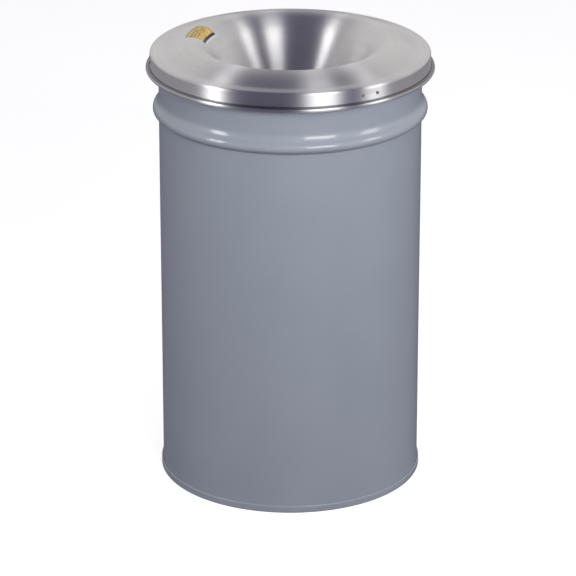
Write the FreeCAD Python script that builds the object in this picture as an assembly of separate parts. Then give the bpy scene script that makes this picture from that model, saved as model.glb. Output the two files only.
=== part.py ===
"""Oily waste can: an open-head steel drum with a lift-off spun aluminium head.

The head's funnel lets waste drop in and turns smoke back onto a fire, which goes out.
Millimetres, +Z up. The origin is on the drum's axis, in the plane that the drum stands on.
-Y is the front. Round shapes are sheet metal, so each is a middle line in the r-z half
plane, made of straight runs and tangent bends, that is thickened and turned about Z.
"""

import FreeCAD, Part
import math
import os

from FreeCAD import Placement, Rotation, Vector

# Drum ---------------------------------------------------------------------------------
drum_inner_r = 14 * 25.4 / 2  # the standard fourteen inch drum
drum_height = 604.5  # floor to the top of the rolled rim
steel_t = 0.76  # 22 gauge
wall_r = drum_inner_r + steel_t / 2  # middle of the wall's sheet

rim_curl_r = 4.0  # middle line of the rolled rim
rim_curl_turn = 310

hoop_z = 526.0  # widest ring of the stiffening hoop
hoop_out = 8.1
hoop_crown_r = 10.0
hoop_under_r = 6.0  # crown radius below the widest ring
hoop_upper_r, hoop_upper_slope = 21.0, 42
hoop_lower_r, hoop_lower_slope = 4.0, 65

weld_width = 6.0  # side seam, a mash-welded lap
weld_proud = 0.25
weld_low_z = 11.5

# Double seam that rolls the drum's wall and its bottom together -------------------------
seam_height = 10.0
seam_film = 0.08  # room for sealant between the rolled layers
seam_step = steel_t + seam_film
seam_corner_r = 1.0
wall_hook_top, wall_hook_turn_z = 7.8, 2.4
bottom_hook_end = 3.2
bottom_z = 12.0  # middle of the bottom sheet, clear of the floor
bottom_corner_r = 3.0
bottom_panel_r, bottom_panel_rise = 150.0, 3.0
bottom_step_r, bottom_step_slope = 4.0, 40

# Head ---------------------------------------------------------------------------------
head_t = 1.3
head_seat_gap = 0.25  # between the rolled rim and the head that rests on it
skirt_r = 189.35
skirt_edge_z = 583.0  # centre of the rolled lower edge
edge_curl_r = 2.8
edge_curl_turn = 305
shoulder_r = 3.2
ledge_z = drum_height + head_seat_gap + head_t / 2

crest_r, crest_z = 134.0, 618.2 - head_t / 2
dome_outer_r, dome_foot_r, dome_slope = 66.0, 12.0, 28
crest_inner_r, crest_inner_slope = 22.0, 35
funnel_top_r, funnel_slope = 60.0, 57
throat_r = 64.0  # clear radius of the funnel's opening
throat_bend_r = 40.0
throat_run = 4.0
lip_curl_r, lip_curl_turn = 2.5, 215

# Clips and rivets -----------------------------------------------------------------------
clip_count = 3
clip_first_angle = -56.5  # degrees from +X, counter-clockwise seen from above
clip_t = 0.5
clip_width, clip_height = 36.0, 15.0
clip_low_z = skirt_edge_z + 4.0
clip_bar_height = 4.0
tongue_width, tongue_slit = 13.0, 1.0
tongue_reach = 1.35  # its bow stays 0.3 clear of the rolled rim
tongue_return = 1.25
tongue_bend_r, tongue_slope = 3.0, 30
tongue_crown, tongue_tip = 1.5, 2.0

rivet_spacing = 23.0
rivet_z = skirt_edge_z + 11.5
rivet_r, rivet_hole_r = 1.6, 1.65
rivet_head_r, rivet_head_height = 2.1, 0.8
rivet_tail_r, rivet_tail_height = 2.2, 0.6
rivet_bore_r, rivet_bore_depth = 1.2, 1.6
rivet_film = 0.03  # between a clip and the tails of its rivets

# Label ----------------------------------------------------------------------------------
label_t, label_film = 0.15, 0.02
label_angle, label_r = 163.3, 129.0
label_radial, label_turn = 30.0, 23.5  # a sector of a ring round the dome
label_corner_r = 2.0

AXIS = Vector(0, 0, 1)
ORIGIN = Vector(0, 0, 0)


class SheetLine:
    """A bent sheet's middle line in the r-z half plane. Headings are in degrees from +r towards +z."""

    def __init__(self, r, z, heading):
        self.r, self.z, self.heading = r, z, heading
        self.stretches = []

    def run(self, length):
        """Goes straight ahead."""
        start = (self.r, self.z)
        self.r += length * math.cos(math.radians(self.heading))
        self.z += length * math.sin(math.radians(self.heading))
        self.stretches.append(("run", start, (self.r, self.z), self.heading))
        return self

    def bend(self, radius, degrees):
        """Follows an arc, to the left for positive degrees and to the right for negative."""
        side = math.copysign(1, degrees)
        to_centre = math.radians(self.heading + 90 * side)
        centre = (self.r + radius * math.cos(to_centre), self.z + radius * math.sin(to_centre))
        first = self.heading - 90 * side
        self.heading += degrees
        last = math.radians(self.heading - 90 * side)
        self.r = centre[0] + radius * math.cos(last)
        self.z = centre[1] + radius * math.sin(last)
        self.stretches.append(("bend", centre, radius, first, degrees))
        return self

    def jog(self, offset, first_r, second_r, slope):
        """Moves the line sideways by offset, to the left if positive, and keeps its heading."""
        side = math.copysign(1, offset)
        turn = math.radians(slope)
        straight = (abs(offset) - (first_r + second_r) * (1 - math.cos(turn))) / math.sin(turn)
        return self.bend(first_r, side * slope).run(straight).bend(second_r, -side * slope)

    def side(self, stretch, left):
        """The edge that runs beside one stretch, at a distance to its left."""
        if stretch[0] == "run":
            _, start, end, heading = stretch
            across = math.radians(heading + 90)
            shift = Vector(left * math.cos(across), 0, left * math.sin(across))
            return Part.makeLine(Vector(start[0], 0, start[1]) + shift, Vector(end[0], 0, end[1]) + shift)
        _, centre, radius, first, degrees = stretch
        reach = radius - math.copysign(left, degrees * left) if left else radius
        points = [
            Vector(centre[0] + reach * math.cos(a), 0, centre[1] + reach * math.sin(a))
            for a in (math.radians(first + degrees * share) for share in (0, 0.5, 1))
        ]
        return Part.Arc(*points).toShape()

    def band(self, left_a, left_b):
        """The face between two lines beside this one."""
        sides = [[self.side(s, left) for s in self.stretches] for left in (left_a, left_b)]
        caps = [
            Part.makeLine(sides[0][0].firstVertex(True).Point, sides[1][0].firstVertex(True).Point),
            Part.makeLine(sides[0][-1].lastVertex(True).Point, sides[1][-1].lastVertex(True).Point),
        ]
        edges = Part.__sortEdges__(sides[0] + sides[1] + caps)
        return Part.Face(Part.Wire(edges))

    def sheet(self, thickness, degrees=360.0, start=0.0):
        """The sheet turned about Z, from a start angle."""
        solid = self.band(-thickness / 2, thickness / 2).revolve(ORIGIN, AXIS, degrees)
        return turned(solid, start)


def turned(shape, degrees):
    """A copy of a shape, turned about Z."""
    copy = shape.copy()
    copy.rotate(ORIGIN, AXIS, degrees)
    return copy


def jog_length(offset, first_r, second_r, slope):
    """How far a jog goes ahead while it moves sideways by offset."""
    turn = math.radians(slope)
    straight = (offset - (first_r + second_r) * (1 - math.cos(turn))) / math.sin(turn)
    return (first_r + second_r) * math.sin(turn) + straight * math.cos(turn)


def arc_width(width, radius):
    """The angle, in degrees, of a width measured round a radius."""
    return math.degrees(width / radius)


def side_wall(line):
    """Adds the drum's wall, with its hoop, up to the start of the rolled rim."""
    lower = jog_length(hoop_out, hoop_lower_r, hoop_under_r, hoop_lower_slope)
    upper = jog_length(hoop_out, hoop_crown_r, hoop_upper_r, hoop_upper_slope)
    rim_turn_z = drum_height - steel_t / 2 - rim_curl_r
    line.run(hoop_z - lower - line.z)
    line.jog(-hoop_out, hoop_lower_r, hoop_under_r, hoop_lower_slope)
    line.jog(hoop_out, hoop_crown_r, hoop_upper_r, hoop_upper_slope)
    return line.run(rim_turn_z - (hoop_z + upper))


def drum_shell():
    """The wall: hook of the double seam, hoop, rolled rim and welded side seam."""
    line = SheetLine(wall_r + 2 * seam_step, wall_hook_top, -90)
    line.run(wall_hook_top - wall_hook_turn_z).bend(seam_step, -180)
    side_wall(line).bend(rim_curl_r, -rim_curl_turn)
    weld_line = side_wall(SheetLine(wall_r, weld_low_z, 90))
    weld_angle = arc_width(weld_width, wall_r)
    weld = weld_line.sheet(steel_t + 2 * weld_proud, weld_angle, 90 - weld_angle / 2)
    return line.sheet(steel_t).fuse(weld)


def drum_bottom():
    """The bottom sheet: raised panel, countersink and the double seam's outer layers."""
    line = SheetLine(wall_r + seam_step, bottom_hook_end, 90)
    hook_turn_z = seam_height - steel_t / 2 - seam_step
    land = 4 * seam_step - 2 * seam_corner_r
    line.run(hook_turn_z - bottom_hook_end).bend(seam_step, -180)
    line.run(hook_turn_z - steel_t / 2 - seam_corner_r).bend(seam_corner_r, -90)
    line.run(land).bend(seam_corner_r, -90)
    line.run(bottom_z - bottom_corner_r - line.z).bend(bottom_corner_r, 90)
    line.run(line.r - bottom_panel_r).jog(-bottom_panel_rise, bottom_step_r, bottom_step_r, bottom_step_slope)
    line.run(line.r)
    return line.sheet(steel_t)


def seam_sealant():
    """The ring of sealing compound under the wall's hook, inside the double seam."""
    low = steel_t + seam_film
    high = wall_hook_turn_z - seam_step - steel_t / 2 - seam_film
    inner, outer = wall_r, wall_r + 2 * seam_step
    ring = Part.makeCylinder(outer, high - low, Vector(0, 0, low))
    return ring.cut(Part.makeCylinder(inner, high - low, Vector(0, 0, low)))


def dome(line):
    """Adds the head's dome, from the foot on the ledge to the top of the funnel's wall."""
    line.jog(-(crest_z - ledge_z), dome_foot_r, dome_outer_r, dome_slope)
    line.bend(crest_inner_r, crest_inner_slope)
    return line.bend(funnel_top_r, funnel_slope - crest_inner_slope)


def dome_foot():
    """The radius where the ledge ends and the dome's foot begins."""
    return crest_r + jog_length(crest_z - ledge_z, dome_foot_r, dome_outer_r, dome_slope)


def rivet_places():
    """Clip number, letter and angle of each rivet."""
    half = arc_width(rivet_spacing / 2, skirt_r)
    for clip in range(clip_count):
        middle = clip_first_angle + clip * 360 / clip_count
        yield clip + 1, "a", middle - half
        yield clip + 1, "b", middle + half


def radial_cylinder(radius, inner, outer, degrees):
    """A cylinder that points away from the axis, at the rivets' height."""
    along_x = Part.makeCylinder(radius, outer - inner, Vector(inner, 0, rivet_z), Vector(1, 0, 0))
    return turned(along_x, degrees)


def extinguishing_head():
    """The spun aluminium head: rolled edge, skirt, ledge, dome, funnel and rolled lip."""
    edge_end = math.radians(edge_curl_turn - 180)
    edge_centre_r = skirt_r + edge_curl_r
    line = SheetLine(
        edge_centre_r + edge_curl_r * math.cos(edge_end),
        skirt_edge_z + edge_curl_r * math.sin(edge_end),
        90 + edge_curl_turn - 360,
    )
    line.bend(edge_curl_r, -edge_curl_turn)
    line.run(ledge_z - shoulder_r - skirt_edge_z).bend(shoulder_r, 90)
    line.run(line.r - dome_foot())
    dome(line)
    throat_line_r = throat_r + head_t / 2
    bend_in = throat_bend_r * (1 - math.cos(math.radians(90 - funnel_slope)))
    line.run((line.r - bend_in - throat_line_r) / math.cos(math.radians(funnel_slope)))
    line.bend(throat_bend_r, 90 - funnel_slope).run(throat_run)
    line.bend(lip_curl_r, lip_curl_turn)
    head = line.sheet(head_t)
    holes = [radial_cylinder(rivet_hole_r, skirt_r - 3, skirt_r + 3, a) for _, _, a in rivet_places()]
    return head.cut(holes[0].multiFuse(holes[1:]))


def clip_blank():
    """A retaining clip on the +X side: two lands joined by a bar, and a bowed tongue that grips the rim."""
    back_r = skirt_r - head_t / 2 - clip_t / 2
    high_z = clip_low_z + clip_height
    half = arc_width(clip_width / 2, back_r)
    gap = arc_width(tongue_width / 2 + tongue_slit, back_r)
    tongue_half = arc_width(tongue_width / 2, back_r)
    bar_z = high_z - clip_bar_height
    bar = SheetLine(back_r, high_z, -90).run(clip_bar_height).sheet(clip_t, 2 * half, -half)
    lands = [
        SheetLine(back_r, bar_z, -90).run(bar_z - clip_low_z).sheet(clip_t, half - gap, start)
        for start in (-half, gap)
    ]
    tongue = SheetLine(back_r, bar_z, -90).jog(-tongue_reach, tongue_bend_r, tongue_bend_r, tongue_slope)
    tongue.run(tongue_crown).jog(tongue_return, tongue_bend_r, tongue_bend_r, tongue_slope)
    tongue.run(tongue_tip)
    return bar.multiFuse(lands + [tongue.sheet(clip_t, 2 * tongue_half, -tongue_half)])


def retaining_clip(number):
    """One clip in place, with its rivet holes."""
    clip = turned(clip_blank(), clip_first_angle + (number - 1) * 360 / clip_count)
    holes = [
        radial_cylinder(rivet_hole_r, skirt_r - 3, skirt_r + 3, angle)
        for clip_number, _, angle in rivet_places()
        if clip_number == number
    ]
    return clip.cut(holes[0].fuse(holes[1]))


def clip_rivet(angle):
    """A blind rivet through the skirt and a clip: domed outer head, bored, with a set tail inside."""
    seat_r = skirt_r + head_t / 2
    tail_face = skirt_r - head_t / 2 - clip_t - rivet_film
    outer = seat_r + rivet_head_height
    shank = radial_cylinder(rivet_r, tail_face - 0.1, seat_r + 0.1, angle)
    head = radial_cylinder(rivet_head_r, seat_r, outer, angle)
    sharp = max(head.Edges, key=lambda e: e.CenterOfMass.Length if e.Closed else 0)
    tail = radial_cylinder(rivet_tail_r, tail_face - rivet_tail_height, tail_face, angle)
    bore = radial_cylinder(rivet_bore_r, outer - rivet_bore_depth, outer + 1, angle)
    return head.makeFillet(rivet_head_height * 0.6, [sharp]).multiFuse([shank, tail]).cut(bore)


def head_label():
    """The adhesive label that follows the dome, cut to a sector of a ring seen from above."""
    line = SheetLine(dome_foot(), ledge_z, 180)
    dome(line)
    near = -(head_t / 2 + label_film)
    skin = turned(line.band(near, near - label_t).revolve(ORIGIN, AXIS, 60), label_angle - 30)
    low, high = Vector(0, 0, ledge_z - 10), crest_z - ledge_z + 20
    block = Part.makeCylinder(label_r + label_radial / 2, high, low, AXIS, label_turn)
    block = block.cut(Part.makeCylinder(label_r - label_radial / 2, high, low))
    upright = [e for e in block.Edges if abs(e.tangentAt(e.FirstParameter).z) > 0.99]
    block = block.makeFillet(label_corner_r, upright)
    return skin.common(turned(block, label_angle - label_turn / 2))


def pieces():
    """Every sub-part by node name."""
    found = {
        "drum_shell": drum_shell(),
        "drum_bottom": drum_bottom(),
        "seam_sealant": seam_sealant(),
        "extinguishing_head": extinguishing_head(),
        "head_label": head_label(),
    }
    for number in range(1, clip_count + 1):
        found[f"retaining_clip_{number}"] = retaining_clip(number)
    for number, letter, angle in rivet_places():
        found[f"clip_rivet_{number}{letter}"] = clip_rivet(angle)
    return found


os.makedirs("parts", exist_ok=True)
for node, shape in pieces().items():
    solids = shape.Solids
    print(node, "valid" if shape.isValid() else "INVALID", len(solids), round(shape.Volume, 1))
    whole = solids[0] if len(solids) == 1 else Part.makeCompound(solids)
    whole.exportStep(f"parts/{node}.step")
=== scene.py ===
"""Oily waste can: a grey enamelled steel drum with a lift-off head of spun aluminium.

Metres, in the CAD model's frame. The drum's wall, its bottom and the head are turned again
here from their middle lines, finer than in the CAD mesh. The other pieces are the CAD model's own.
"""

import math

import bmesh
import bpy
from mathutils import Matrix, Vector, noise


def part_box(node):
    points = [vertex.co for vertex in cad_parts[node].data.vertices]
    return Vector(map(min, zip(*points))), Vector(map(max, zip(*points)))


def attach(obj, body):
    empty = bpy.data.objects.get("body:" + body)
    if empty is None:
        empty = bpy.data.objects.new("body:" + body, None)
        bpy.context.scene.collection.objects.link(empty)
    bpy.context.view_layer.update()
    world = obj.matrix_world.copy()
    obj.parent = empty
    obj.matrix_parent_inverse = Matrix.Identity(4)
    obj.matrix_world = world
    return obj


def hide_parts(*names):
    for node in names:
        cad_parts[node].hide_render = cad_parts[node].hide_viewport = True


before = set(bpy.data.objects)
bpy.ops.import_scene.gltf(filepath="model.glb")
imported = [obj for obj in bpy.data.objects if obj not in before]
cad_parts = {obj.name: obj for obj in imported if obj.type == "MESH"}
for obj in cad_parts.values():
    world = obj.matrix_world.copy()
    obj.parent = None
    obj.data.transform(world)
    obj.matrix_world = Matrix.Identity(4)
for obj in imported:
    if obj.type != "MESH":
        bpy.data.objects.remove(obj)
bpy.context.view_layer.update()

MM = 0.001

# Camera -------------------------------------------------------------------------------
camera_distance, camera_height = 4.4, 2.0007
camera_tilt, camera_turn = 21.595, 0.04  # degrees
camera_lens, camera_sensor, camera_reach = 213.2, 36, 100

# Light --------------------------------------------------------------------------------
# Azimuth and elevation in degrees, distance, width and height in metres, radiance.
softboxes = {
    "softbox_left": (-61.5, 17, 2.6, 0.62, 1.0, 10.5),
    "softbox_middle": (25.5, 17, 3.0, 1.26, 1.0, 9.5),
    "softbox_right": (70, 17, 2.6, 0.72, 1.0, 6.2),
}
fill_light = (8, 25, 1.05, 0.5, 0.4, 3.6)
light_target = Vector((0, 0, 0.5))

room_dim, room_bright = (0.118, 0.112, 0.165, 1), (0.69, 0.68, 0.678, 1)
room_front_to_back = -0.5, 0.1  # directions' Y over which the room goes from dim to bright
room_top_to_side = 0.92, 0.6  # the same for Z, from overhead down
room_floor_to_side = -0.2, 0.15  # and from below up

floor_size, paper_glow = 24, 0.62
paper_roughness, paper_specular = 0.9, 0.1

# Colours ------------------------------------------------------------------------------
paint_dark, paint_light = (0.320, 0.358, 0.400, 1), (0.338, 0.375, 0.415, 1)
paint_fleck, paint_scuff = (0.24, 0.265, 0.295, 1), (0.11, 0.115, 0.125, 1)
metal_dark, metal_light = (0.80, 0.79, 0.785, 1), (0.86, 0.85, 0.845, 1)
# the last colour on the next line is painted shade, for the crevice over the rolled edge
metal_ring, metal_crevice_shade = (0.72, 0.71, 0.72, 1), (0.10, 0.10, 0.13, 1)
strip_dark, strip_light = (0.50, 0.50, 0.52, 1), (0.66, 0.66, 0.67, 1)
strip_blued = (0.34, 0.36, 0.46, 1)
# painted shade: the rivets are drawn far darker than aluminium, and their bores darker still
rivet_shaded_dark, rivet_shaded_light = (0.16, 0.16, 0.18, 1), (0.24, 0.24, 0.25, 1)
rivet_bore_shade = (0.06, 0.06, 0.065, 1)
sealant_dark, sealant_light = (0.030, 0.028, 0.026, 1), (0.055, 0.052, 0.048, 1)
gold_dark, gold_light = (0.72, 0.43, 0.06, 1), (0.95, 0.66, 0.16, 1)
block_brown, band_black = (0.16, 0.075, 0.02, 1), (0.012, 0.012, 0.014, 1)
outline_black, margin_white = (0.015, 0.014, 0.014, 1), (0.82, 0.82, 0.80, 1)
paper_dark, paper_light = (0.84, 0.84, 0.84, 1), (0.86, 0.86, 0.86, 1)
black, white = (0, 0, 0, 1), (1, 1, 1, 1)

# Finish, in metres --------------------------------------------------------------------
noise_low, noise_high = 0.3, 0.7  # the range that nearly all of a noise lies in
coat_weight, coat_roughness = 0.8, 0.13
scuff_height, scuff_strength = 0.011, 0.55
sheen_stretch, sheen_turn = 0.96, 0.25
metal_roughness, skirt_roughness = 0.33, 0.02
# painted shade: a thin dark band on the metal at the crevice over the rolled edge, where shade falls
crevice_shade_z, crevice_shade_strength = 0.5859, 0.75
crevice_shade_half_from, crevice_shade_half_to = 0.0004, 0.0016
crevice_shade_r_from, crevice_shade_r_to = 0.1890, 0.1896
rolled_r_from, rolled_r_to = 0.1901, 0.1906
skirt_top_from, skirt_top_to = 0.600, 0.604
# painted shade down each rivet's bore
bore_shade_r_from, bore_shade_r_to = 0.1893, 0.1901

label_band_from, label_band_to = -0.0105, -0.0100
label_print_edge, label_outline_edge, label_margin_edge = (0.003, 0.0034), (0.0023, 0.0026), (0.0012, 0.0015)
block_width, block_row, block_gap = 0.0085, 0.0042, 0.0009

# Sheet metal, in millimetres ----------------------------------------------------------
steel_t, head_t = 0.76, 1.3
wall_r = 178.18
drum_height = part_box("drum_shell")[1].z / MM

seam_step, seam_corner_r = 0.84, 1.0
seam_height, wall_hook_top, wall_hook_turn_z, bottom_hook_end = 10.0, 7.8, 2.4, 3.2
bottom_z, bottom_corner_r = 12.0, 3.0
bottom_panel_r, bottom_panel_rise, bottom_step_r, bottom_step_slope = 150.0, 3.0, 4.0, 40

rim_curl_r, rim_curl_turn = 4.0, 310
hoop_z, hoop_out = 526.0, 8.1
hoop_crown_r, hoop_upper_r, hoop_upper_slope = 10.0, 21.0, 42
hoop_under_r, hoop_lower_r, hoop_lower_slope = 6.0, 4.0, 65
weld_width, weld_proud, weld_edge, weld_low_z = 6.0, 0.25, 0.8, 11.5
weld_angle, weld_reach = 90, (9, 5)  # where it is, and how far below the top it fades out
unevenness, unevenness_round, unevenness_along = 0.10, 2.2, 160  # the wall's departure from a true cylinder
even_foot, even_top = (20, 90), (440, 500)  # heights over which it sets in and dies away

skirt_r, skirt_edge_z = 189.35, 583.0
edge_curl_r, edge_curl_turn = 2.8, 305
shoulder_r, head_seat_gap = 3.2, 0.25
ledge_z = drum_height + head_seat_gap + head_t / 2
crest_r, crest_z = 134.0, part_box("extinguishing_head")[1].z / MM - head_t / 2
dome_outer_r, dome_foot_r, dome_slope = 66.0, 12.0, 28
crest_inner_r, crest_inner_slope = 22.0, 35
funnel_top_r, funnel_slope = 60.0, 57
throat_r, throat_bend_r, throat_run = 64.0, 40.0, 4.0
lip_curl_r, lip_curl_turn = 2.5, 215

clip_angle, rivet_spacing, rivet_z = -56.5, 23.0, skirt_edge_z + 11.5
clip_count, clip_dent = 3, 0.18  # the dent is how far the rivets pull the skirt in towards a clip
dent_across, dent_high, dent_lift = (0.42, 0.62), (1.0, 4.5), 0.6

sharp_angle, ring_steps = 40, 288

label_angle, label_r = 163.3, 129.0
label_radial, label_turn = 30.0, 23.5


class SheetLine:
    """A bent sheet's middle line in the r-z half plane, sampled as points with their left-hand normals."""

    def __init__(self, r, z, heading, bend_step=6.0, run_step=12.0):
        self.r, self.z, self.heading = r, z, heading
        self.bend_step, self.run_step = bend_step, run_step
        self.points = []
        self.note_point()

    def note_point(self):
        across = math.radians(self.heading + 90)
        self.points.append((self.r, self.z, math.cos(across), math.sin(across)))

    def run(self, length):
        """Goes straight ahead."""
        steps = max(1, math.ceil(length / self.run_step))
        for _ in range(steps):
            self.r += length / steps * math.cos(math.radians(self.heading))
            self.z += length / steps * math.sin(math.radians(self.heading))
            self.note_point()
        return self

    def bend(self, radius, degrees):
        """Follows an arc, to the left for positive degrees and to the right for negative."""
        steps = max(2, math.ceil(abs(degrees) / self.bend_step))
        chord = 2 * radius * math.sin(math.radians(abs(degrees) / steps / 2))
        for _ in range(steps):
            self.heading += degrees / steps / 2
            self.r += chord * math.cos(math.radians(self.heading))
            self.z += chord * math.sin(math.radians(self.heading))
            self.heading += degrees / steps / 2
            self.note_point()
        return self

    def jog(self, offset, first_r, second_r, slope):
        """Moves the line sideways by offset, to the left if positive, and keeps its heading."""
        side = math.copysign(1, offset)
        turn = math.radians(slope)
        straight = (abs(offset) - (first_r + second_r) * (1 - math.cos(turn))) / math.sin(turn)
        return self.bend(first_r, side * slope).run(straight).bend(second_r, -side * slope)

    def outline(self, thickness):
        """The closed outline of the sheet: one side there, the other side back."""
        half = thickness / 2
        left = [(r + half * nr, z + half * nz, nr, nz) for r, z, nr, nz in self.points]
        right = [(r - half * nr, z - half * nz, -nr, -nz) for r, z, nr, nz in self.points]
        return left + right[::-1]


def jog_length(offset, first_r, second_r, slope):
    """How far a jog goes ahead while it moves sideways by offset."""
    turn = math.radians(slope)
    straight = (offset - (first_r + second_r) * (1 - math.cos(turn))) / math.sin(turn)
    return (first_r + second_r) * math.sin(turn) + straight * math.cos(turn)


def smooth_step(value, low, high):
    """0 at low, 1 at high, and smooth between."""
    share = min(1.0, max(0.0, (value - low) / (high - low)))
    return share * share * (3 - 2 * share)


def ring_angles(fine_at=(), fine_half=0.0, steps=ring_steps, fine_step=0.0):
    """Angles round a circle in degrees, even, with closer ones round each of the given angles."""
    angles = {round(360 * i / steps, 4) for i in range(steps)}
    for middle in fine_at:
        count = math.ceil(2 * fine_half / fine_step)
        angles |= {round((middle - fine_half + i * fine_step) % 360, 4) for i in range(count + 1)}
    return sorted(angles)


def turn_sheet(name, outline, angles, push=None):
    """A closed sheet-metal piece turned about Z. push moves a point along its normal, in millimetres."""
    verts, faces = [], []
    for degrees in angles:
        cos_a, sin_a = math.cos(math.radians(degrees)), math.sin(math.radians(degrees))
        for r, z, nr, nz in outline:
            move = push(r, z, nr, degrees) if push else 0.0
            r_moved, z_moved = r + move * nr, z + move * nz
            verts.append((r_moved * cos_a * MM, r_moved * sin_a * MM, z_moved * MM))
    count, rings = len(outline), len(angles)
    for ring in range(rings):
        here, there = ring * count, (ring + 1) % rings * count
        for i in range(count):
            j = (i + 1) % count
            faces.append((here + i, here + j, there + j, there + i))
    mesh = bpy.data.meshes.new(name)
    mesh.from_pydata(verts, [], faces)
    mesh.validate()
    mesh.shade_smooth()
    mesh.set_sharp_from_angle(angle=math.radians(sharp_angle))
    piece = bpy.data.objects.new(name, mesh)
    bpy.context.scene.collection.objects.link(piece)
    return piece


def face_outwards(piece):
    """Turns every face's normal out of the closed mesh."""
    mesh = bmesh.new()
    mesh.from_mesh(piece.data)
    bmesh.ops.recalc_face_normals(mesh, faces=mesh.faces)
    mesh.to_mesh(piece.data)
    mesh.free()
    return piece


# Nodes --------------------------------------------------------------------------------


class Tree:
    """A node tree, with short calls for the nodes used below."""

    def __init__(self, tree):
        self.tree = tree

    def add(self, kind, **settings):
        node = self.tree.nodes.new(kind)
        for key, value in settings.items():
            setattr(node, key, value)
        return node

    def feed(self, socket, value):
        """Links value to a socket, or sets it there if it is a plain number or colour."""
        if isinstance(value, bpy.types.NodeSocket):
            self.tree.links.new(value, socket)
        else:
            socket.default_value = value

    def math(self, operation, *values):
        node = self.add("ShaderNodeMath", operation=operation)
        for socket, value in zip(node.inputs, values):
            self.feed(socket, value)
        return node.outputs["Value"]

    def between(self, value, from_low, from_high, to_low=0.0, to_high=1.0):
        """value, mapped smoothly from one range to another and clamped."""
        node = self.add("ShaderNodeMapRange", interpolation_type="SMOOTHSTEP")
        for key, number in (("Value", value), ("From Min", from_low), ("From Max", from_high),
                            ("To Min", to_low), ("To Max", to_high)):
            self.feed(node.inputs[key], number)
        return node.outputs["Result"]

    def outside(self, value, from_low, from_high):
        """1 up to from_low, 0 past from_high, and smooth between."""
        return self.between(value, from_low, from_high, 1.0, 0.0)

    def spread(self, noise_value, to_low=0.0, to_high=1.0):
        """A noise, stretched over the whole of a range."""
        return self.between(noise_value, noise_low, noise_high, to_low, to_high)

    def mix(self, share, first, second):
        node = self.add("ShaderNodeMix", data_type="RGBA")
        for key, value in (("Factor", share), ("A", first), ("B", second)):
            sockets = [s for s in node.inputs if s.name == key and s.type in ("VALUE", "RGBA")]
            self.feed(sockets[0] if key == "Factor" else sockets[-1], value)
        return next(s for s in node.outputs if s.type == "RGBA")

    def noise(self, vector, scale, detail=2.0, roughness=0.5, w=None):
        node = self.add("ShaderNodeTexNoise", noise_dimensions="4D" if w is not None else "3D")
        self.feed(node.inputs["Vector"], vector)
        if w is not None:
            self.feed(node.inputs["W"], w)
        for key, value in (("Scale", scale), ("Detail", detail), ("Roughness", roughness)):
            node.inputs[key].default_value = value
        return node.outputs["Fac"]

    def vector(self, x, y, z):
        node = self.add("ShaderNodeCombineXYZ")
        for socket, value in zip(node.inputs, (x, y, z)):
            self.feed(socket, value)
        return node.outputs["Vector"]

    def parts(self, vector):
        node = self.add("ShaderNodeSeparateXYZ")
        self.feed(node.inputs["Vector"], vector)
        return node.outputs["X"], node.outputs["Y"], node.outputs["Z"]

    def bump(self, height, distance, strength, under=None):
        node = self.add("ShaderNodeBump")
        self.feed(node.inputs["Height"], height)
        node.inputs["Distance"].default_value = distance
        node.inputs["Strength"].default_value = strength
        if under is not None:
            self.feed(node.inputs["Normal"], under)
        return node.outputs["Normal"]


class Surface(Tree):
    """A new material's node tree, with its shader and its place on the can in metres."""

    def __init__(self, name):
        self.material = bpy.data.materials.new(name)
        self.material.use_nodes = True
        super().__init__(self.material.node_tree)
        self.shader = self.tree.nodes["Principled BSDF"]
        self.place = self.add("ShaderNodeTexCoord").outputs["Object"]

    def set(self, **values):
        """Feeds the shader's sockets. An underscore in a key stands for a space in a socket's name."""
        for key, value in values.items():
            self.feed(self.shader.inputs[key.replace("_", " ")], value)

    def radius(self):
        """Distance from the can's axis."""
        x, y, _ = self.parts(self.place)
        return self.math("SQRT", self.math("ADD", self.math("MULTIPLY", x, x), self.math("MULTIPLY", y, y)))

    def round_lines(self, fineness, drift=2.0):
        """Noise that runs in circles round the axis: fineness per metre across them, slow along them."""
        x, y, z = self.parts(self.place)
        radius = self.radius()
        cos_a, sin_a = self.math("DIVIDE", x, radius), self.math("DIVIDE", y, radius)
        across = self.vector(self.math("MULTIPLY", radius, fineness), self.math("MULTIPLY", z, fineness),
                             self.math("MULTIPLY", cos_a, drift))
        return self.noise(across, scale=1.0, roughness=0.6, w=self.math("MULTIPLY", sin_a, drift))


# Materials ----------------------------------------------------------------------------


def enamel():
    """Semi-gloss grey enamel with a little orange peel, and scuffs along the bottom seam."""
    nodes = Surface("grey_enamel")
    cloud = nodes.noise(nodes.place, scale=9.0, detail=3.0)
    fleck = nodes.noise(nodes.place, scale=420.0)
    tone = nodes.mix(nodes.spread(cloud), paint_dark, paint_light)
    tone = nodes.mix(nodes.between(fleck, 0.62, 0.78, 0.0, 0.25), tone, paint_fleck)
    _, _, z = nodes.parts(nodes.place)
    scratches = nodes.between(nodes.round_lines(900.0, drift=24.0), 0.60, 0.70)
    scuffed = nodes.math("MULTIPLY", nodes.outside(z, 0.0, scuff_height), scratches)
    tone = nodes.mix(nodes.math("MULTIPLY", scuffed, scuff_strength), tone, paint_scuff)
    smears = nodes.noise(nodes.place, scale=22.0, detail=4.0, roughness=0.6)
    peel = nodes.bump(nodes.noise(nodes.place, scale=520.0, detail=1.0), distance=0.00006, strength=0.6)
    nodes.set(
        Base_Color=tone,
        Roughness=nodes.spread(smears, 0.46, 0.54),
        Coat_Weight=coat_weight,
        Coat_Roughness=coat_roughness,
        Normal=nodes.bump(scuffed, distance=0.00008, strength=0.5, under=peel),
    )
    return nodes.material


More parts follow.
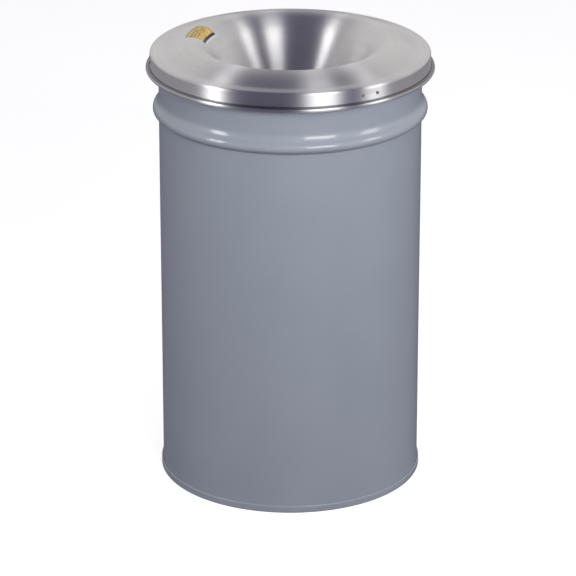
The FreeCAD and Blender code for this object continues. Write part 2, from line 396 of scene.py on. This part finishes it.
def spun_aluminium():
    """Aluminium from the spinning lathe: fine rings, a broad sheen, and a painted dark line of shade where
    the rolled edge meets the skirt.
    """
    nodes = Surface("spun_aluminium")
    rings = nodes.round_lines(1400.0)
    coarse_rings = nodes.round_lines(260.0, drift=1.0)
    patches = nodes.noise(nodes.place, scale=16.0, detail=3.0)
    _, _, z = nodes.parts(nodes.place)
    radius = nodes.radius()
    tone = nodes.mix(nodes.spread(patches), metal_dark, metal_light)
    tone = nodes.mix(nodes.between(rings, 0.35, 0.65, 0.0, 0.35), tone, metal_ring)
    # painted shade: darkens a thin band at the crevice between the skirt and its rolled edge
    from_crevice_shade = nodes.math("ABSOLUTE", nodes.math("SUBTRACT", z, crevice_shade_z))
    crevice_shade = nodes.math("MULTIPLY", nodes.between(radius, crevice_shade_r_from, crevice_shade_r_to),
                       nodes.outside(from_crevice_shade, crevice_shade_half_from, crevice_shade_half_to))
    tone = nodes.mix(nodes.math("MULTIPLY", crevice_shade, crevice_shade_strength), tone, metal_crevice_shade)
    grain = nodes.math("ADD", nodes.math("MULTIPLY", rings, 0.10), nodes.math("MULTIPLY", patches, 0.06))
    not_rolled = nodes.math("SUBTRACT", 1.0, nodes.between(radius, rolled_r_from, rolled_r_to))
    skirt = nodes.math("MULTIPLY", nodes.outside(z, skirt_top_from, skirt_top_to), not_rolled)
    satin = nodes.math("MULTIPLY_ADD", skirt, skirt_roughness, metal_roughness)
    tangent = nodes.add("ShaderNodeTangent", direction_type="RADIAL", axis="Z")
    fine = nodes.bump(rings, distance=0.00002, strength=0.5)
    nodes.set(
        Base_Color=tone,
        Metallic=1.0,
        Anisotropic=sheen_stretch,
        Anisotropic_Rotation=sheen_turn,
        Roughness=nodes.math("ADD", grain, satin),
        Tangent=tangent.outputs["Tangent"],
        Normal=nodes.bump(coarse_rings, distance=0.00006, strength=0.4, under=fine),
    )
    return nodes.material


def spring_steel():
    """Bright strip steel, drawn lengthways, with a blued tint here and there."""
    nodes = Surface("spring_steel")
    x, y, z = nodes.parts(nodes.place)
    lengthways = nodes.vector(nodes.math("MULTIPLY", x, 60.0), nodes.math("MULTIPLY", y, 60.0),
                              nodes.math("MULTIPLY", z, 2600.0))
    drawn = nodes.noise(lengthways, scale=1.0, detail=3.0)
    tint = nodes.noise(nodes.place, scale=180.0)
    tone = nodes.mix(nodes.spread(drawn), strip_dark, strip_light)
    nodes.set(
        Base_Color=nodes.mix(nodes.between(tint, 0.6, 0.75, 0.0, 0.4), tone, strip_blued),
        Metallic=1.0,
        Roughness=nodes.between(drawn, 0.2, 0.8, 0.24, 0.42),
        Normal=nodes.bump(drawn, distance=0.00003, strength=0.4),
    )
    return nodes.material


def rivet_aluminium():
    """Rivet metal painted far darker than aluminium, as painted shade at the rivets, and darkest down its
    bore, as painted shade in the hole.
    """
    nodes = Surface("rivet_aluminium")
    grain = nodes.noise(nodes.place, scale=1600.0, detail=3.0)
    tone = nodes.mix(nodes.spread(grain), rivet_shaded_dark, rivet_shaded_light)
    nodes.set(
        # painted shade: the rivet's bore is darkened
        Base_Color=nodes.mix(nodes.outside(nodes.radius(), bore_shade_r_from, bore_shade_r_to), tone, rivet_bore_shade),
        Metallic=1.0,
        Roughness=nodes.spread(grain, 0.26, 0.38),
        Normal=nodes.bump(grain, distance=0.00003, strength=0.4),
    )
    return nodes.material


def sealant():
    """Dark seam compound, squeezed and a little lumpy."""
    nodes = Surface("seam_sealant")
    lumps = nodes.noise(nodes.place, scale=300.0, detail=3.0)
    nodes.set(
        Base_Color=nodes.mix(nodes.spread(lumps), sealant_dark, sealant_light),
        Roughness=nodes.spread(lumps, 0.55, 0.75),
        Normal=nodes.bump(lumps, distance=0.0001, strength=0.5),
    )
    return nodes.material


def label_print():
    """A gold label with a black band, blank blocks and a white margin. It carries no lettering."""
    nodes = Surface("label_print")
    turn = math.radians(label_angle)
    middle_r = label_r * MM
    x, y, _ = nodes.parts(nodes.place)
    radius = nodes.radius()
    sideways = nodes.math("SUBTRACT", nodes.math("MULTIPLY", y, math.cos(turn)),
                          nodes.math("MULTIPLY", x, math.sin(turn)))
    v = nodes.math("MULTIPLY", nodes.math("ARCSINE", nodes.math("DIVIDE", sideways, radius)), middle_r)
    u = nodes.math("SUBTRACT", radius, middle_r)
    half_v = math.radians(label_turn / 2) * middle_r
    inside = nodes.math("MINIMUM", nodes.math("SUBTRACT", label_radial / 2 * MM, nodes.math("ABSOLUTE", u)),
                        nodes.math("SUBTRACT", half_v, nodes.math("ABSOLUTE", v)))
    blotch = nodes.noise(nodes.place, scale=260.0, detail=3.0, roughness=0.6)
    cells = nodes.add("ShaderNodeTexBrick", offset=0.5)
    for key, value in (("Vector", nodes.vector(v, u, 0.0)), ("Scale", 1.0), ("Brick Width", block_width),
                       ("Row Height", block_row), ("Mortar Size", block_gap), ("Mortar Smooth", 0.2),
                       ("Bias", -0.1), ("Color1", black), ("Color2", white), ("Mortar", white)):
        nodes.feed(cells.inputs[key], value)
    blocks = nodes.math("MULTIPLY", nodes.between(cells.outputs["Color"], 0.2, 0.6, 0.65, 0.0),
                        nodes.between(inside, *label_print_edge))
    tone = nodes.mix(nodes.between(blotch, 0.35, 0.65), gold_dark, gold_light)
    for share, colour in (
        (blocks, block_brown),
        (nodes.outside(u, label_band_from, label_band_to), band_black),
        (nodes.outside(inside, *label_outline_edge), outline_black),
        (nodes.outside(inside, *label_margin_edge), margin_white),
    ):
        tone = nodes.mix(share, tone, colour)
    nodes.set(
        Base_Color=tone,
        Roughness=nodes.spread(blotch, 0.22, 0.34),
        Normal=nodes.bump(nodes.noise(nodes.place, scale=240.0), distance=0.00004, strength=0.4),
    )
    return nodes.material


def pale_floor():
    """White studio paper with a faint mottle and a glow of its own."""
    nodes = Surface("studio_paper")
    nodes.set(
        Base_Color=nodes.mix(nodes.spread(nodes.noise(nodes.place, scale=3.0)), paper_dark, paper_light),
        Emission_Color=white,
        Emission_Strength=paper_glow,
        Roughness=paper_roughness,
        Specular_IOR_Level=paper_specular,
    )
    return nodes.material


# Pieces -------------------------------------------------------------------------------


def wall_push(r, z, nr, degrees):
    """The wall's slight unevenness, and the ridge of its welded seam at the back."""
    from_seam = abs((degrees - weld_angle + 180) % 360 - 180) * math.radians(wall_r)
    ridge = 1 - smooth_step(from_seam, weld_width / 2 - weld_edge, weld_width / 2)
    fade_from, fade_to = (drum_height - below for below in weld_reach)
    reach = smooth_step(z, weld_low_z - 1, weld_low_z) * (1 - smooth_step(z, fade_from, fade_to))
    turn = math.radians(degrees)
    along = z / unevenness_along
    spot = Vector((unevenness_round * math.cos(turn), unevenness_round * math.sin(turn), along))
    middle = smooth_step(z, *even_foot) * (1 - smooth_step(z, *even_top))
    return weld_proud * ridge * reach + math.copysign(unevenness, nr) * noise.noise(spot) * middle


def drum_wall():
    """The wall with the seam's hook, the hoop and the rolled rim."""
    lower = jog_length(hoop_out, hoop_lower_r, hoop_under_r, hoop_lower_slope)
    upper = jog_length(hoop_out, hoop_crown_r, hoop_upper_r, hoop_upper_slope)
    line = SheetLine(wall_r + 2 * seam_step, wall_hook_top, -90)
    line.run(wall_hook_top - wall_hook_turn_z).bend(seam_step, -180)
    line.run(weld_low_z - 1 - line.z).run(1)
    line.run(hoop_z - lower - line.z)
    line.jog(-hoop_out, hoop_lower_r, hoop_under_r, hoop_lower_slope)
    line.jog(hoop_out, hoop_crown_r, hoop_upper_r, hoop_upper_slope)
    line.run(drum_height - steel_t / 2 - rim_curl_r - line.z)
    line.bend(rim_curl_r, -rim_curl_turn)
    seam_half = math.degrees(weld_width / 2 / wall_r)
    angles = ring_angles(fine_at=(weld_angle,), fine_half=seam_half * 1.5, fine_step=seam_half / 10)
    return turn_sheet("drum_wall", line.outline(steel_t), angles, wall_push)


def drum_base():
    """The bottom sheet with its raised panel, and the double seam's outer layers."""
    line = SheetLine(wall_r + seam_step, bottom_hook_end, 90)
    hook_turn_z = seam_height - steel_t / 2 - seam_step
    line.run(hook_turn_z - bottom_hook_end).bend(seam_step, -180)
    line.run(hook_turn_z - steel_t / 2 - seam_corner_r).bend(seam_corner_r, -90)
    line.run(4 * seam_step - 2 * seam_corner_r).bend(seam_corner_r, -90)
    line.run(bottom_z - bottom_corner_r - line.z).bend(bottom_corner_r, 90)
    line.run(line.r - bottom_panel_r)
    line.jog(-bottom_panel_rise, bottom_step_r, bottom_step_r, bottom_step_slope)
    line.run(line.r - 0.01)
    return turn_sheet("drum_base", line.outline(steel_t), ring_angles())


def clip_angles():
    """The angle of each retaining clip's middle."""
    return [clip_angle + 360 / clip_count * number for number in range(clip_count)]


def skirt_push(r, z, nr, degrees):
    """A shallow dent where a pair of rivets draws the skirt in."""
    if r < skirt_r - head_t:
        return 0.0
    from_clip = min(abs((degrees - middle + 180) % 360 - 180) for middle in clip_angles())
    across = from_clip * math.radians(skirt_r)
    near = 1 - smooth_step(across, *(rivet_spacing * share for share in dent_across))
    high = 1 - smooth_step(abs(z - rivet_z - dent_lift), *dent_high)
    return -math.copysign(clip_dent, nr) * near * high


def spun_head():
    """The head from its rolled edge over the ledge and dome, down the funnel to its rolled lip."""
    edge_end = math.radians(edge_curl_turn - 180)
    line = SheetLine(
        skirt_r + edge_curl_r + edge_curl_r * math.cos(edge_end),
        skirt_edge_z + edge_curl_r * math.sin(edge_end),
        90 + edge_curl_turn - 360, bend_step=4.0, run_step=1.2)
    line.bend(edge_curl_r, -edge_curl_turn)
    line.run(ledge_z - shoulder_r - skirt_edge_z).bend(shoulder_r, 90)
    line.run_step = 8.0
    dome_foot = crest_r + jog_length(crest_z - ledge_z, dome_foot_r, dome_outer_r, dome_slope)
    line.run(line.r - dome_foot)
    line.bend_step = 2.0
    line.jog(-(crest_z - ledge_z), dome_foot_r, dome_outer_r, dome_slope)
    line.bend(crest_inner_r, crest_inner_slope).bend(funnel_top_r, funnel_slope - crest_inner_slope)
    bend_in = throat_bend_r * (1 - math.cos(math.radians(90 - funnel_slope)))
    line.run((line.r - bend_in - throat_r - head_t / 2) / math.cos(math.radians(funnel_slope)))
    line.bend(throat_bend_r, 90 - funnel_slope).run(throat_run)
    line.bend_step = 8.0
    line.bend(lip_curl_r, lip_curl_turn)
    angles = ring_angles(fine_at=clip_angles(), fine_half=5.0, steps=360, fine_step=0.25)
    return turn_sheet("spun_head", line.outline(head_t), angles, skirt_push)


def studio_floor():
    """The floor, as part of the stage."""
    bpy.ops.mesh.primitive_plane_add(size=floor_size)
    floor = bpy.context.object
    floor.name = "studio_floor"
    floor.data.materials.append(pale_floor())
    floor.visible_diffuse = floor.visible_glossy = False


def dress(piece, material):
    """Gives a piece one material."""
    piece.data.materials.clear()
    piece.data.materials.append(material)


def build():
    """Makes the new pieces and gives them their material and body, and gives the listed CAD pieces their
    materials.
    """
    paint, metal = enamel(), spun_aluminium()
    for make, body, node, slot, material in (
        (drum_wall, "drum", "drum_shell", "drum_paint", paint),
        (drum_base, "drum", "drum_bottom", "drum_paint", paint),
        (spun_head, "head", "extinguishing_head", "spun_aluminium", metal),
    ):
        piece = face_outwards(make())
        dress(piece, material)
        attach(piece, body)
        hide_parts(node)
    kinds = {"seam_sealant": sealant(), "head_label": label_print(),
             "retaining_clip": spring_steel(), "clip_rivet": rivet_aluminium()}
    for node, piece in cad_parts.items():
        for start, material in kinds.items():
            if node.startswith(start):
                dress(piece, material)


# Studio -------------------------------------------------------------------------------


def softbox(name, azimuth, elevation, distance, width, height, radiance):
    """A soft area light that faces the can. Azimuth 0 is the front, and positive is to the right."""
    turn, lift = math.radians(azimuth), math.radians(elevation)
    towards = Vector((math.cos(lift) * math.sin(turn), -math.cos(lift) * math.cos(turn), math.sin(lift)))
    data = bpy.data.lights.new(name, "AREA")
    data.shape = "RECTANGLE"
    data.size, data.size_y = width, height
    data.energy = radiance * math.pi * width * height
    light = bpy.data.objects.new(name, data)
    light.location = light_target + distance * towards
    light.rotation_euler = towards.to_track_quat("Z", "Y").to_euler()
    bpy.context.scene.collection.objects.link(light)
    return light


def studio_light():
    """Three softboxes in front, and a fill that shows neither in the picture nor in reflections."""
    for name, settings in softboxes.items():
        softbox(name, *settings)
    fill = softbox("fill", *fill_light)
    fill.visible_camera = fill.visible_glossy = False


def studio_room():
    """The room: bright behind the can, and dim in front, overhead and below."""
    world = bpy.data.worlds.new("studio_room")
    bpy.context.scene.world = world
    world.use_nodes = True
    nodes = Tree(world.node_tree)
    _, y, z = nodes.parts(nodes.add("ShaderNodeTexCoord").outputs["Generated"])
    sides = nodes.math("MULTIPLY", nodes.between(y, *room_front_to_back), nodes.between(z, *room_top_to_side))
    bright = nodes.math("MULTIPLY", sides, nodes.between(z, *room_floor_to_side))
    background = world.node_tree.nodes["Background"]
    nodes.feed(background.inputs["Color"], nodes.mix(bright, room_dim, room_bright))
    background.inputs["Strength"].default_value = 1.0


def camera():
    """A long lens in front of the can, that looks down on it."""
    data = bpy.data.cameras.new("camera")
    data.sensor_width, data.lens, data.clip_end = camera_sensor, camera_lens, camera_reach
    piece = bpy.data.objects.new("camera", data)
    turn = Matrix.Rotation(math.radians(camera_turn), 4, "Z")
    tilt = Matrix.Rotation(math.radians(90 - camera_tilt), 4, "X")
    piece.matrix_world = Matrix.Translation((0, -camera_distance, camera_height)) @ turn @ tilt
    bpy.context.scene.collection.objects.link(piece)
    bpy.context.scene.camera = piece


build()
studio_floor()
studio_light()
studio_room()
camera()
bpy.context.scene.view_settings.view_transform = "Standard"
